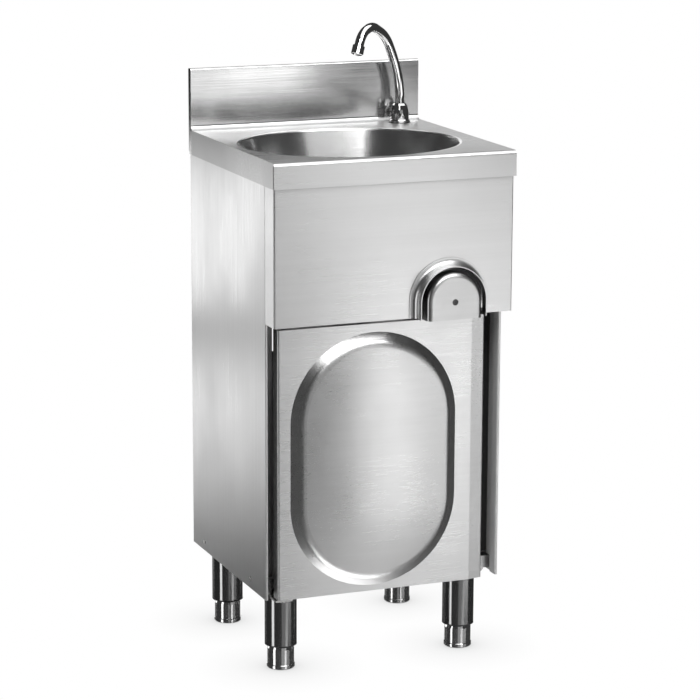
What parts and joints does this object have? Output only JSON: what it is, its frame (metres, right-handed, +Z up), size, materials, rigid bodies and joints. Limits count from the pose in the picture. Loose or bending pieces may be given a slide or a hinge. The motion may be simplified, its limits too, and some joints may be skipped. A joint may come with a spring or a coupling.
{
  "type": "hand-wash sink",
  "caption": "Knee-operated stainless hand-wash sink: oval bowl, backsplash and swivel spout on a square cabinet with a domed door and adjustable feet.",
  "frame": {"origin": "on the floor under the middle of the overall box, feet wound fully in", "axes": "+X to the user's right, +Y from the user towards the wall, +Z up"},
  "size_m": [0.4, 0.421, 0.9969],
  "materials": {
    "satin_steel": "brushed satin stainless sheet, fine grain along the panel",
    "polished_steel": "polished stainless",
    "chrome": "bright plated",
    "rubber": "matt black",
    "white_plastic": "smooth white moulded",
    "brass": "plain machined",
    "braided_hose": "steel braid over rubber",
    "black_plastic": "fine textured",
    "bright_steel": "plated, smooth"
  },
  "bodies": {
    "cabinet": {"back_panel": "satin_steel", "back_rail": "satin_steel", "bottom_pan": "satin_steel", "bowl": "polished_steel", "cold_hose": "braided_hose", "door_header": "satin_steel", "door_seal": "rubber", "drain_screw": "polished_steel", "drain_seal": "rubber", "drain_strainer": "polished_steel", "drain_tail": "white_plastic", "fascia": "satin_steel", "hinge_brackets": "bright_steel", "hinge_pins": "bright_steel", "hot_hose": "braided_hose", "inlet_plate": "bright_steel", "inlet_unions": "brass", "jamb_rails": "satin_steel", "knee_collar": "satin_steel", "leg_bolts": "bright_steel", "leg_inserts": "black_plastic", "leg_plates": "bright_steel", "leg_tubes": "chrome", "magnetic_catch": "black_plastic", "mixed_hose": "braided_hose", "mixing_valve": "brass", "return_spring": "bright_steel", "side_panel_left": "satin_steel", "side_panel_right": "satin_steel", "side_rivets": "bright_steel", "spout_base": "chrome", "spout_grub_screw": "bright_steel", "spout_hose": "braided_hose", "spout_nut": "brass", "spout_seal": "rubber", "spout_shank": "brass", "trap_body": "white_plastic", "trap_cup": "white_plastic", "trap_inlet": "white_plastic", "trap_nuts": "white_plastic", "union_nuts": "brass", "valve_body": "brass", "valve_nut": "brass", "waste_pipe": "white_plastic", "worktop": "satin_steel"},
    "door": {"door_skin": "satin_steel", "door_liner": "satin_steel", "door_bushes": "brass", "strike_plate": "bright_steel"},
    "push_plate": {"knee_plate": "satin_steel", "knee_screw": "chrome", "push_rod": "bright_steel"},
    "spout": {"spout_tube": "chrome", "aerator": "chrome"},
    "mixer_knob": {"temperature_knob": "black_plastic"},
    "foot_fl": {"foot_front_left": "chrome"},
    "foot_fr": {"foot_front_right": "chrome"},
    "foot_rl": {"foot_rear_left": "chrome"},
    "foot_rr": {"foot_rear_right": "chrome"}
  },
  "joints": [
    {"name": "door_hinge", "type": "hinge", "parent": "cabinet", "child": "door", "pos_m": [-0.168, -0.1375, 0.344], "axis": [0, 0, -1], "range_deg": [0, 108]},
    {"name": "knee_push", "type": "slide", "parent": "cabinet", "child": "push_plate", "axis": [0, 1, 0], "range_m": [0, 0.012], "stiffness_N_per_m": 1200, "springref_m": -0.012, "deforming": ["return_spring"]},
    {"name": "spout_swivel", "type": "hinge", "parent": "cabinet", "child": "spout", "pos_m": [0.154, 0.1685, 0.85], "axis": [0, 0, 1], "range_deg": [-35, 90]},
    {"name": "temperature_turn", "type": "hinge", "parent": "cabinet", "child": "mixer_knob", "pos_m": [0.165, 0.0205, 0.47], "axis": [0, -1, 0], "range_deg": [-90, 90]},
    {"name": "foot_fl_height", "type": "slide", "parent": "cabinet", "child": "foot_fl", "axis": [0, 0, -1], "range_m": [0, 0.05]},
    {"name": "foot_fr_height", "type": "slide", "parent": "cabinet", "child": "foot_fr", "axis": [0, 0, -1], "range_m": [0, 0.05]},
    {"name": "foot_rl_height", "type": "slide", "parent": "cabinet", "child": "foot_rl", "axis": [0, 0, -1], "range_m": [0, 0.05]},
    {"name": "foot_rr_height", "type": "slide", "parent": "cabinet", "child": "foot_rr", "axis": [0, 0, -1], "range_m": [0, 0.05]}
  ]
}
